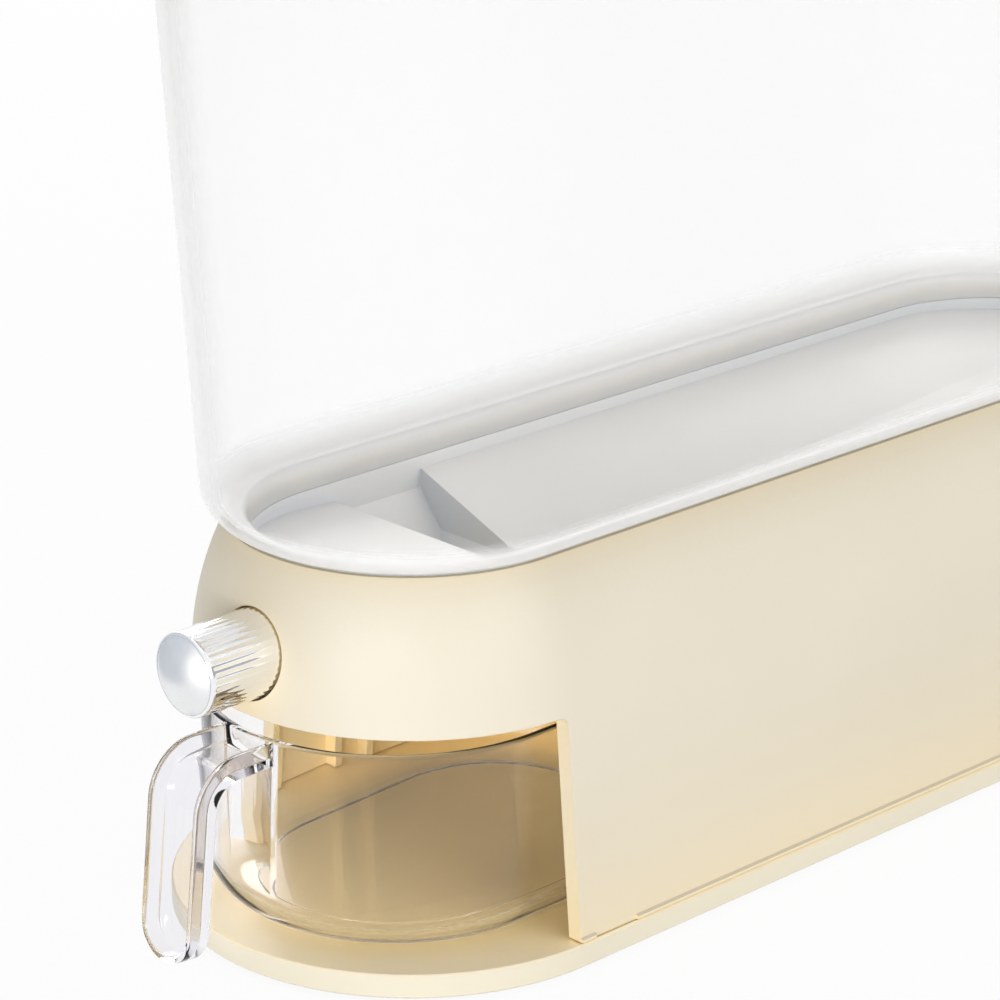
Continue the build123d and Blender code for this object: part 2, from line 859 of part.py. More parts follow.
def hinged_part(own, other, direction):
    """One side of the cap with its own knuckles, notched for the other side's."""
    near = hinge_y + direction * hinge_gap
    half = cap() & block((-far, far), sorted((near, hinge_y + direction * far_back)), (0, far_back))
    notch = knuckle_radius + knuckle_space
    notch_y = (hinge_y - notch, hinge_y + notch)
    for low, high in knuckle_spans()[other]:
        half -= block((low - knuckle_space, high + knuckle_space), notch_y, (0, far_back))
    for span in knuckle_spans()[own]:
        root = sorted((hinge_y, hinge_y + direction * 2 * knuckle_radius))
        half += knuckle(span, knuckle_radius) + block(span, root, (cap_underside, hinge_z()))
        half -= knuckle(span, pin_radius + pin_clearance)
    return half


def flip_lid():
    lid = hinged_part("lid", "cover", -1)
    reach = cap_radius + tab_reach
    tab = post(reach, 0, 0, tab_bottom, tab_bottom + tab_thick)
    tab &= block((-tab_half, tab_half), (-far, 0), (0, far_back))
    return lid + (tab - post(cap_radius - weld, 0, 0, 0, far_back))


def rear_cover():
    cover = hinged_part("cover", "lid", 1)
    ledge_y = (hinge_y - ledge_reach, hinge_y + ledge_reach)
    ledge = block((-ledge_half, ledge_half), ledge_y, (ledge_top - ledge_thick, ledge_top))
    step_y = (hinge_y + knuckle_radius + 2 * knuckle_space, hinge_y + ledge_reach)
    step = block((-ledge_half, ledge_half), step_y, (ledge_top, cap_underside + weld))
    return cover + ledge + step


def lid_seal():
    bottom = cap_underside - lid_seal_thick
    strip = racetrack(polygon(
        (lid_seal_inner, bottom),
        (lid_seal_outer, bottom),
        (lid_seal_outer, cap_underside),
        (lid_seal_inner, cap_underside),
    ))
    wide = lid_seal_outer - lid_seal_inner
    rear = hinge_y - knuckle_radius - 2 * knuckle_space
    strip = strip & block((-far, far), (-far, rear), (0, far_back))
    half = lid_seal_inner + weld
    return strip + block((-half, half), (rear - wide, rear), (bottom, cap_underside))


def hinge_pin():
    return knuckle((-knuckle_outer, knuckle_outer), pin_radius)


def plate_screws():
    bearing = plate_rib_bottom + screw_head_height
    return [screw(x, y, bearing, plate_screw_length) for x, y in plate_screw_places() + liner_screw_places()]


def hopper_screws():
    return [screw(x, y, hopper_top - hopper_flange, hopper_screw_length) for x, y in hopper_screw_places()]


def tray_screws():
    return [screw(x, y, tray_top - tray_floor, tray_screw_length) for x, y in tray_screw_places()]


def mechanism_screws():
    return [screw(x, y, ceiling_bottom, small_screw_length) for x, y in mechanism_screw_places()]


pieces = [
    foot_plate, rubber_feet, base_shell, bay_liner,
    tank, tank_seal, hopper, outlet_seal, gate_tray, gate_plate,
    push_rod, rod_nut, button_cap, button_face, button_guide, rod_bracket, return_spring, measuring_cup,
    flip_lid, rear_cover, lid_seal, hinge_pin,
    plate_screws, hopper_screws, tray_screws, mechanism_screws,
]

os.makedirs("parts", exist_ok=True)
for piece in pieces:
    made = piece()
    solids = made if isinstance(made, list) else [made]
    moved = Pos(0, -middle_y, 0) * Compound([solid for item in solids for solid in item.solids()])
    export_step(moved, f"parts/{piece.__name__}.step")
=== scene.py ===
import bmesh
import bpy
import math
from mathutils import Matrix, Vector


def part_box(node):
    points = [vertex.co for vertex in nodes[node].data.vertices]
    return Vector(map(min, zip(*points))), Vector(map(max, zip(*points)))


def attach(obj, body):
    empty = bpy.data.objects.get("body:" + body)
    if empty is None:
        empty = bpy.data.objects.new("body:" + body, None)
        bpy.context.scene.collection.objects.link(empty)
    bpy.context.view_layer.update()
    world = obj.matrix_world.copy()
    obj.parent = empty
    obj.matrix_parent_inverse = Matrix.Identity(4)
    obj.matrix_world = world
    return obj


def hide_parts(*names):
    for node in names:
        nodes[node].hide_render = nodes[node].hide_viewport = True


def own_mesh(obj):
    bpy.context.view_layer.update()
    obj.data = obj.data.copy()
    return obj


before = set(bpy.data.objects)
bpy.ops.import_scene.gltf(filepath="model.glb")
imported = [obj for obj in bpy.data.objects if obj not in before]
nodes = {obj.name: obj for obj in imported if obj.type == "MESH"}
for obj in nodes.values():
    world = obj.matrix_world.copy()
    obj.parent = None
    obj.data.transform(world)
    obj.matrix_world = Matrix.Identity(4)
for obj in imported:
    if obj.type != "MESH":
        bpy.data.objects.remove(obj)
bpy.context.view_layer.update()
MM = 0.001

# Meshes: edges that turn by more than this angle stay sharp, points nearer than this distance are
# merged, and edges shorter than this length are dissolved
SHARP_ANGLE = math.radians(35)
MERGE_DISTANCE = 0.002 * MM
SLIVER_LENGTH = 0.001 * MM
ROUND_STEPS = 8

# The plan is a racetrack: straight sides join two end arcs with their centres on the middle line
plate_low, plate_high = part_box("foot_plate")
FRONT_Y = plate_low.y + plate_high.x
REAR_Y = plate_high.y - plate_high.x
ARC_STEPS = 72

# Tank wall
TANK_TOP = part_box("tank")[1].z
TANK_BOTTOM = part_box("base_shell")[1].z
TANK_NECK_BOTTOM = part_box("tank")[0].z
TANK_FOOT = 63.14 * MM
TANK_DRAFT = 0.0583
TANK_WALL = 2.4 * MM
TANK_NECK = 49.7 * MM
TANK_NECK_WALL = 1.8 * MM
TANK_FILLET = 12.0 * MM
TANK_INNER_FILLET = 9.6 * MM
TANK_RIM_ROUND = 0.9 * MM

# Measuring cup
CUP_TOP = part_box("measuring_cup")[1].z
CUP_BOTTOM = 9.3 * MM
CUP_FRONT_Y = FRONT_Y - 7.1 * MM
CUP_REAR_Y = CUP_FRONT_Y + 42.8 * MM
CUP_FOOT = 59.0 * MM
CUP_RIM = 59.9 * MM
CUP_WALL = 2.4 * MM
CUP_ROUND = 13.0 * MM
CUP_FOOT_RING = 3.4 * MM
CUP_FOOT_HEIGHT = 1.0 * MM
CUP_FOOT_ROOT_ROUND = CUP_FOOT_HEIGHT / 2
CUP_FOOT_EDGE_ROUND = CUP_FOOT_HEIGHT / 4
CUP_RIM_ROUND = 0.9 * MM
CUP_ROUND_STEPS = 12

# Handle of the cup: a bent tongue with a rim along its edge
HANDLE_HALF = 11.4 * MM
HANDLE_DEPTH = 7.8 * MM
HANDLE_FLANGE = 2.1 * MM
HANDLE_WEB = 2.3 * MM
HANDLE_TOP = 73.9 * MM
HANDLE_ROOT_Y = FRONT_Y - 66.0 * MM
HANDLE_BEND_Y = FRONT_Y - 93.9 * MM
HANDLE_TIP_Y = FRONT_Y - 100.6 * MM
HANDLE_TIP_Z = 10.8 * MM
HANDLE_BEND = 16.9 * MM
HANDLE_ROUND = 0.8 * MM
HANDLE_ROUND_STEPS = 5
HANDLE_SIDE_STEPS = 40
HANDLE_TIP_STEPS = 32

# Its bend: the lean of the part that hangs down, the angle turned, the reach from the corner to
# where the arc starts, and the level run before that
HANDLE_LEAN = math.atan2(HANDLE_BEND_Y - HANDLE_TIP_Y, HANDLE_TOP - HANDLE_TIP_Z)
HANDLE_TURN = math.pi / 2 - HANDLE_LEAN
HANDLE_REACH = HANDLE_BEND * math.tan(HANDLE_TURN / 2)
HANDLE_LEVEL = HANDLE_ROOT_Y - HANDLE_BEND_Y - HANDLE_REACH

# Push button, along Y
BUTTON_LOW, BUTTON_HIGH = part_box("button_cap")
BUTTON_BACK_RADIUS = BUTTON_HIGH.x
BUTTON_FRONT_RADIUS = BUTTON_BACK_RADIUS - 0.5 * MM
BUTTON_Z = (BUTTON_LOW.z + BUTTON_HIGH.z) / 2
BUTTON_RING = 1.8 * MM
BUTTON_ROUND = 0.75 * MM
BUTTON_FRONT_WALL = 2.4 * MM
BUTTON_BORE = 9.2 * MM
FLUTES = 40
FLUTE_STEPS = 8
FLUTE_DEPTH = 0.09 * MM
FLUTE_RUN_IN = 2 * FLUTE_DEPTH

# Domed face of the button
DOME_LOW, DOME_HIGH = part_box("button_face")
DOME_STEPS = 24
DOME_ANGLE_STEPS = 96
FACE_GAP = 0.05 * MM

# Return spring, along Y
SPRING_LOW, SPRING_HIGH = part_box("return_spring")
SPRING_RADIUS = 7.2 * MM
SPRING_TURNS = 6
SPRING_STEPS = 32
WIRE_RADIUS = 0.7 * MM
WIRE_STEPS = 12

# Looks: the two tones that a cloudy colour runs between, and the range of the roughness
CREAM = {"dark": (0.75, 0.69, 0.56), "light": (0.775, 0.715, 0.585), "rough": (0.45, 0.55)}
PLATE = {"dark": (0.8, 0.737, 0.585), "light": (0.825, 0.762, 0.61), "rough": (0.3, 0.4)}
# The inner parts: a warmer copy of the shell's cream, painted bounce light for the inside of the
# bay
INNER_PAINTED_BOUNCE = {"dark": (0.8, 0.72, 0.54), "light": (0.83, 0.75, 0.57), "rough": (0.42, 0.52)}
HOPPER = {"dark": (0.86, 0.853, 0.843), "light": (0.9, 0.893, 0.883), "rough": (0.35, 0.45)}
MILKY = {"dark": (0.85, 0.852, 0.86), "light": (0.9, 0.902, 0.91), "rough": (0.12, 0.2)}
CLEAR = {"dark": (0.98, 0.975, 0.985), "light": (1.0, 0.995, 1.0), "rough": (0.0, 0.02)}
SEAL = {"dark": (0.7, 0.7, 0.69), "light": (0.76, 0.76, 0.75), "rough": (0.55, 0.75)}
FEET = {"dark": (0.03, 0.03, 0.03), "light": (0.05, 0.05, 0.05), "rough": (0.55, 0.75)}
STEEL = {"dark": (0.5, 0.5, 0.51), "light": (0.6, 0.6, 0.61), "rough": (0.22, 0.34)}
CHROME = {"dark": (0.88, 0.885, 0.9), "light": (0.93, 0.935, 0.945), "rough": (0.03, 0.06)}
SATIN = {"dark": (0.82, 0.825, 0.835), "light": (0.88, 0.885, 0.89), "rough": (0.27, 0.33)}

# Where in a noise the first tone ends and the second begins
NOISE_LOW = 0.3
NOISE_HIGH = 0.7

# Edges that moulded pieces and rubber round off in the shading alone
MOULDED_EDGE = 0.4 * MM
RUBBER_EDGE = 0.3 * MM
EDGE_SAMPLES = 6

# Painted light and shade in hollows: tones in the deepest hollow and where half open, and how far
# off a hollow's walls may be: in the bay, on the shell's crown under the tank, and in the hopper's
# outlet
# Painted bounce light, mostly in the bay: a warmer, more saturated tone in hollows of the shell,
# the plate and the inner parts
SHELL_BOUNCE_TONES = (1.0, 0.8, 0.42), (0.86, 0.74, 0.53)
PLATE_BOUNCE_TONES = (1.0, 0.81, 0.44), (1.0, 0.86, 0.58)
INNER_BOUNCE_TONES = (1.0, 0.8, 0.4), (1.0, 0.81, 0.46)
BOUNCE_REACH = 70 * MM
# Painted shadow of the tank: a darker tone on level faces of the shell's crown under it
CROWN_SHADOW_TONES = (0.45, 0.38, 0.255), (0.45, 0.38, 0.255)
CROWN_SHADOW_REACH = 90 * MM
# Painted shade in the hopper's outlet: a darker, bluish grey
OUTLET_SHADE_TONES = (0.46, 0.5, 0.55), (0.74, 0.745, 0.76)
OUTLET_SHADE_REACH = 45 * MM
HOLLOW_SAMPLES = 6

# Shares of open sky at which a surface counts as a deep hollow, as half open and as open
DEEP_HOLLOW = 0.2
HALF_OPEN = 0.6
FULLY_OPEN = 0.95

# How far a surface is turned away runs evenly from 0, face on, to 1, edge on
FACING_BLEND = 0.5
EDGE_ON = 1.0

# How much of what is behind it the milky plastic's white veil hides: face on, at a glancing
# angle from a start on, and in the thick foot
TANK_VEIL = 0.07
TANK_VEIL_EDGE = 0.62
TANK_VEIL_START = 0.5
TANK_VEIL_FOOT = 0.75

# Share of the veil that is lit from behind, and its colour there
TANK_GLOW = 0.45
TANK_GLOW_COLOUR = (0.97, 0.975, 0.98, 1)

# Share of the clear part that passes light as glass does, without bending it, so that the white
# surround lights the inside
TANK_GLASS = 0.09
STRAIGHT_IOR = 1.0

# How far clear plastic turns violet grey where it is seen edge on, and from where
CLEAR_EDGE = 0.5
CLEAR_EDGE_START = 0.68
CLEAR_EDGE_COLOUR = (0.8, 0.79, 0.86, 1)
CLEAR_SHADOW_COLOUR = (0.985, 0.98, 0.985, 1)

# Tint of the thick handle, and where along Y the clear plastic fades to it from the thin cup
CLEAR_TINT = (0.9, 0.893, 0.925, 1)
TINT_END_Y = FRONT_Y - 78.0 * MM
TINT_START_Y = FRONT_Y - 66.0 * MM

# Indices of refraction
MOULDED_IOR = 1.5
TANK_IOR = 1.49
CLEAR_IOR = 1.3

# Sockets of the node that mixes colours
MIX_FIRST = 6
MIX_SECOND = 7
MIX_RESULT = 2

# Floor, which the camera sees as white but for a share of its paint, and the white surround
FLOOR_SIZE = 80.0
FLOOR_PAINT = (0.9, 0.9, 0.9, 1)
FLOOR_WHITE = 0.93
WHITE = (1, 1, 1, 1)
SURROUND_LIGHT = 0.4
SURROUND_SEEN = 1.0

# Soft lamps: name, place, width and height, power
LAMPS = (
    ("back_lamp", (-1.6, 1.3, 0.9), (1.4, 1.4), 15.0),
    ("low_lamp", (0.7, -1.65, 0.2), (1.4, 0.36), 14.5),
    ("side_lamp", (1.9, 0.1, 0.8), (1.4, 1.4), 13.5),
    ("top_lamp", (0.0, 0.2, 2.2), (1.6, 1.6), 11.0),
)
LAMP_TARGET = Vector((0, 0, 0.15))

# Cards that only gloss sees, for the metal to mirror: name, place, width and height, tone, with a
# bluish tint. The dark card is a painted reflection: the milky tank in its shade, seen as a bluish
# grey band on the fluted barrel
CARDS = (
    ("painted_tank_reflection_card", (0.95, 0.65, 0.3), (0.5, 0.55), 0.52),
    ("grey_card", (-0.19, -0.28, 0.12), (0.36, 0.36), 0.82),
)
CARD_TARGET = Vector((0, FRONT_Y, BUTTON_Z))
CARD_TINT = (0.94, 1.0, 1.1)

# Camera, fitted to the photograph
CAMERA_PLACE = Vector((0.779497, -0.837806, 0.510426))
CAMERA_AXIS = Vector((-0.67992, 0.64979, -0.33984))
CAMERA_LENS = 134.43
CAMERA_SENSOR = 36.0


def rounded(corners, steps=ROUND_STEPS):
    """Points of an outline whose corners, each (x, y, radius), are rounded where the radius
    isn't 0."""
    points = []
    count = len(corners)
    for place, (x, y, radius) in enumerate(corners):
        corner = Vector((x, y))
        if radius == 0:
            points.append(corner)
            continue
        before = (Vector(corners[place - 1][:2]) - corner).normalized()
        after = (Vector(corners[(place + 1) % count][:2]) - corner).normalized()
        half_angle = before.angle(after) / 2
        reach = radius / math.tan(half_angle)
        centre = corner + (before + after).normalized() * radius / math.sin(half_angle)
        first = corner + before * reach - centre
        last = corner + after * reach - centre
        sweep = math.atan2(first.cross(last), first.dot(last))
        for step in range(steps + 1):
            angle = sweep * step / steps
            turned = Vector((
                first.x * math.cos(angle) - first.y * math.sin(angle),
                first.x * math.sin(angle) + first.y * math.cos(angle),
            ))
            points.append(centre + turned)
    return points


def add_object(name, data):
    """A new object in the scene."""
    item = bpy.data.objects.new(name, data)
    bpy.context.scene.collection.objects.link(item)
    return item


def finish_mesh(name, graph):
    """Turn a bmesh into an object with outward faces that is smooth but for its sharp edges."""
    bmesh.ops.remove_doubles(graph, verts=graph.verts, dist=MERGE_DISTANCE)
    bmesh.ops.dissolve_degenerate(graph, edges=graph.edges, dist=SLIVER_LENGTH)
    bmesh.ops.recalc_face_normals(graph, faces=graph.faces)
    for face in graph.faces:
        face.smooth = True
    for edge in graph.edges:
        edge.smooth = len(edge.link_faces) != 2 or edge.calc_face_angle(0) < SHARP_ANGLE
    mesh = bpy.data.meshes.new(name)
    graph.to_mesh(mesh)
    graph.free()
    return add_object(name, mesh)


def skin_rings(graph, rings, close_rings=True):
    """Join rings of points, in order, with faces. The last ring joins the first where rings are
    to close, and otherwise flat faces fill both."""
    grid = [[graph.verts.new(point) for point in ring] for ring in rings]
    count = len(grid[0])
    pairs = list(zip(grid, grid[1:]))
    if close_rings:
        pairs.append((grid[-1], grid[0]))
    for here, there in pairs:
        for place in range(count):
            following = (place + 1) % count
            graph.faces.new((here[place], here[following], there[following], there[place]))
    if not close_rings:
        graph.faces.new(grid[0])
        graph.faces.new(grid[-1])


def racetrack(profile, front_y, rear_y, capped=False):
    """A section, as radius and height, carried round the racetrack plan. A capped one is open
    at its middle, where two flat faces close it."""
    graph = bmesh.new()
    rings = []
    for centre_y, start in ((rear_y, 0.0), (front_y, math.pi)):
        for step in range(ARC_STEPS + 1):
            angle = start + math.pi * step / ARC_STEPS
            across, along = math.cos(angle), math.sin(angle)
            rings.append([(radius * across, centre_y + radius * along, z) for radius, z in profile])
    if capped:
        skin_rings(graph, [list(column) for column in zip(*rings)], close_rings=False)
    else:
        skin_rings(graph, rings)
    return graph


def tank_radius(z):
    """Half the tank's width at a height."""
    return TANK_FOOT + TANK_DRAFT * (z - TANK_BOTTOM)


def make_tank():
    """The tank in one section: up the neck, over the floor and the wall, and back outside."""
    floor = TANK_BOTTOM + TANK_WALL
    profile = rounded([
        (TANK_NECK, TANK_NECK_BOTTOM, 0),
        (TANK_NECK, floor, TANK_WALL),
        (tank_radius(floor) - TANK_WALL, floor, TANK_INNER_FILLET),
        (tank_radius(TANK_TOP) - TANK_WALL, TANK_TOP, TANK_RIM_ROUND),
        (tank_radius(TANK_TOP), TANK_TOP, TANK_RIM_ROUND),
        (TANK_FOOT, TANK_BOTTOM, TANK_FILLET),
        (TANK_NECK + TANK_NECK_WALL, TANK_BOTTOM, 0),
        (TANK_NECK + TANK_NECK_WALL, TANK_NECK_BOTTOM, 0),
    ])
    piece = finish_mesh("tank_wall", racetrack(profile, FRONT_Y, REAR_Y))
    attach(piece, "base")
    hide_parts("tank")
    return piece


def cup_radius(z):
    """Half the cup's width at a height."""
    return CUP_FOOT + (CUP_RIM - CUP_FOOT) * (z - CUP_BOTTOM) / (CUP_TOP - CUP_BOTTOM)


def handle_place(run, depth):
    """Y and Z of a point on the handle, a run along its front edge from the root and a depth
    behind it."""
    if run <= HANDLE_LEVEL:
        return Vector((HANDLE_ROOT_Y - run, HANDLE_TOP - depth))
    centre = Vector((HANDLE_BEND_Y + HANDLE_REACH, HANDLE_TOP - HANDLE_BEND))
    angle = min((run - HANDLE_LEVEL) / HANDLE_BEND, HANDLE_TURN)
    place = centre + (HANDLE_BEND - depth) * Vector((-math.sin(angle), math.cos(angle)))
    rest = run - HANDLE_LEVEL - HANDLE_BEND * HANDLE_TURN
    if rest > 0:
        place += rest * Vector((-math.sin(HANDLE_LEAN), -math.cos(HANDLE_LEAN)))
    return place


def handle_length():
    """Run along the handle's front edge from its root to its tip."""
    down = (HANDLE_TOP - HANDLE_TIP_Z) / math.cos(HANDLE_LEAN)
    return HANDLE_LEVEL + HANDLE_BEND * HANDLE_TURN + down - HANDLE_REACH


def make_handle():
    """The handle as a rim profile carried round the edge of a tongue, then bent."""
    section = rounded([
        (HANDLE_HALF, HANDLE_DEPTH, 0),
        (0, HANDLE_DEPTH, HANDLE_ROUND),
        (0, 0, HANDLE_ROUND),
        (HANDLE_FLANGE, 0, HANDLE_ROUND),
        (HANDLE_FLANGE, HANDLE_DEPTH - HANDLE_WEB, HANDLE_ROUND),
        (HANDLE_HALF, HANDLE_DEPTH - HANDLE_WEB, 0),
    ], steps=HANDLE_ROUND_STEPS)
    straight = handle_length() - HANDLE_HALF
    runs = [straight * step / HANDLE_SIDE_STEPS for step in range(HANDLE_SIDE_STEPS)]
    turns = [math.pi * step / HANDLE_TIP_STEPS for step in range(HANDLE_TIP_STEPS + 1)]
    outline = [(run, 0.0) for run in runs]
    outline += [(straight, angle) for angle in turns]
    outline += [(run, math.pi) for run in reversed(runs)]
    graph = bmesh.new()
    grid = []
    for run, angle in outline:
        row = []
        for inset, depth in section:
            width = HANDLE_HALF - inset
            y, z = handle_place(run + width * math.sin(angle), depth)
            row.append(graph.verts.new((width * math.cos(angle), y, z)))
        grid.append(row)
    for here, there in zip(grid, grid[1:]):
        for place in range(len(section) - 1):
            graph.faces.new((here[place], here[place + 1], there[place + 1], there[place]))
    graph.faces.new(grid[0] + list(reversed(grid[-1])))
    return finish_mesh("cup_handle", graph)


def make_cup():
    """A walled racetrack on a foot ring, with the handle joined on."""
    underside = CUP_BOTTOM + CUP_FOOT_HEIGHT
    floor = underside + CUP_WALL
    foot_inner = CUP_FOOT - CUP_ROUND - CUP_FOOT_RING
    middle = foot_inner / 2
    profile = rounded([
        (middle, underside, 0),
        (foot_inner, underside, CUP_FOOT_ROOT_ROUND),
        (foot_inner, CUP_BOTTOM, CUP_FOOT_EDGE_ROUND),
        (CUP_FOOT, CUP_BOTTOM, CUP_ROUND),
        (CUP_RIM, CUP_TOP, CUP_RIM_ROUND),
        (CUP_RIM - CUP_WALL, CUP_TOP, CUP_RIM_ROUND),
        (cup_radius(floor) - CUP_WALL, floor, CUP_ROUND - CUP_WALL),
        (middle, floor, 0),
    ], steps=CUP_ROUND_STEPS)
    cup = finish_mesh("clear_cup", racetrack(profile, CUP_FRONT_Y, CUP_REAR_Y, capped=True))
    handle = make_handle()
    join = cup.modifiers.new("handle", "BOOLEAN")
    join.operation = "UNION"
    join.solver = "EXACT"
    join.object = handle
    bpy.context.view_layer.update()
    graph = bpy.context.evaluated_depsgraph_get()
    joined = bpy.data.meshes.new_from_object(cup.evaluated_get(graph))
    cup.modifiers.remove(join)
    cup.data = joined
    bpy.data.objects.remove(handle)
    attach(cup, "cup")
    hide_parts("measuring_cup")
    return cup


def lathe(name, profile, angle_steps, radius_change=None):
    """A profile of (radius, y) turned about the button's axis, with the radius changed by angle
    where asked."""
    graph = bmesh.new()
    rings = []
    for step in range(angle_steps):
        angle = 2 * math.pi * step / angle_steps
        ring = []
        for radius, y in profile:
            if radius_change:
                radius = radius_change(radius, y, step)
            ring.append((radius * math.cos(angle), y, BUTTON_Z + radius * math.sin(angle)))
        rings.append(ring)
    skin_rings(graph, rings)
    return finish_mesh(name, graph)


def make_barrel():
    """The button's barrel: a smooth ring in front, flutes behind it, a seat for the dome."""
    front, back = BUTTON_LOW.y, BUTTON_HIGH.y
    recess = DOME_HIGH.y
    seat = DOME_HIGH.x + FACE_GAP
    ring_end = front + BUTTON_RING
    flute_front = ring_end + FLUTE_RUN_IN
    bore_front = recess + BUTTON_FRONT_WALL
    profile = rounded([
        (0, recess, 0),
        (seat, recess, 0),
        (seat, front, 0),
        (BUTTON_FRONT_RADIUS, front, BUTTON_ROUND),
        (BUTTON_FRONT_RADIUS, ring_end, 0),
        (BUTTON_FRONT_RADIUS, flute_front, 0),
        (BUTTON_BACK_RADIUS, back, 0),
        (BUTTON_BORE, back, 0),
        (BUTTON_BORE, bore_front, 0),
        (0, bore_front, 0),
    ])

    def fluted(radius, y, step):
        outside = radius > BUTTON_BORE and y >= flute_front
        across = (step % FLUTE_STEPS) / FLUTE_STEPS
        return radius - FLUTE_DEPTH * math.sin(math.pi * across) * outside

    barrel = lathe("fluted_button", profile, FLUTES * FLUTE_STEPS, fluted)
    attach(barrel, "button")
    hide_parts("button_cap")
    return barrel


def make_dome():
    """The button's face: a shallow part of a sphere on a short edge."""
    recess = DOME_HIGH.y
    radius = DOME_HIGH.x
    rise = BUTTON_LOW.y - DOME_LOW.y
    sphere = (radius ** 2 + rise ** 2) / (2 * rise)
    widest = math.asin(radius / sphere)
    profile = []
    for step in range(DOME_STEPS + 1):
        angle = widest * step / DOME_STEPS
        profile.append((sphere * math.sin(angle), DOME_LOW.y + sphere * (1 - math.cos(angle))))
    profile += [(radius, recess), (0, recess)]
    face = lathe("button_dome", profile, DOME_ANGLE_STEPS)
    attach(face, "button")
    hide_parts("button_face")
    return face


def make_spring():
    """A round wire wound about the button's axis."""
    start = SPRING_LOW.y + WIRE_RADIUS
    run = SPRING_HIGH.y - WIRE_RADIUS - start
    count = SPRING_TURNS * SPRING_STEPS
    rings = []
    for step in range(count + 1):
        angle = 2 * math.pi * step / SPRING_STEPS
        middle_y = start + run * step / count
        ring = []
        for side in range(WIRE_STEPS):
            turn = 2 * math.pi * side / WIRE_STEPS
            radius = SPRING_RADIUS + WIRE_RADIUS * math.cos(turn)
            y = middle_y + WIRE_RADIUS * math.sin(turn)
            ring.append((radius * math.cos(angle), y, BUTTON_Z + radius * math.sin(angle)))
        rings.append(ring)
    graph = bmesh.new()
    skin_rings(graph, rings, close_rings=False)
    spring = finish_mesh("coil_spring", graph)
    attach(spring, "base")
    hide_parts("return_spring")
    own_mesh(spring)
    return spring


